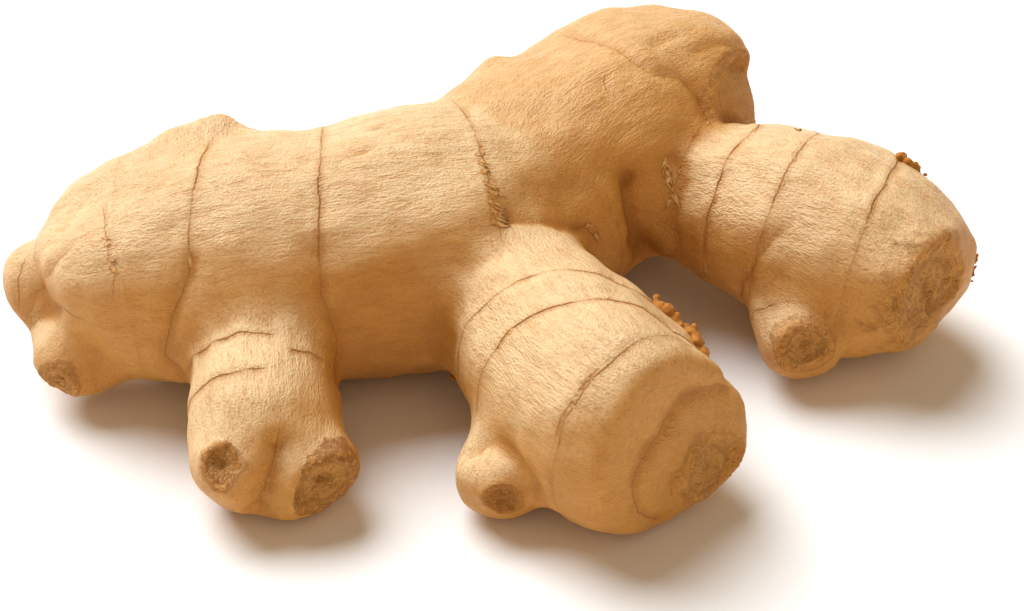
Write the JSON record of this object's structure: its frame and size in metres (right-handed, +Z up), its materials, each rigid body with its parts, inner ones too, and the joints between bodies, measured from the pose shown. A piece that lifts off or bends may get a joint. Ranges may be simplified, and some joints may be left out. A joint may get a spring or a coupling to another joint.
{
  "type": "ginger root",
  "caption": "Fresh ginger rhizome with a knobbly main stem and three stubby fingers, lying on a surface.",
  "frame": {"origin": "on the table, under the middle of the rhizome's box", "axes": "+X along the main stem from its knobbed end to the right finger, +Z up from the table"},
  "size_m": [0.152, 0.1038, 0.0412],
  "materials": {
    "ginger_skin": "satin"
  },
  "bodies": {
    "root": {"ginger_rhizome": "ginger_skin"}
  },
  "joints": []
}
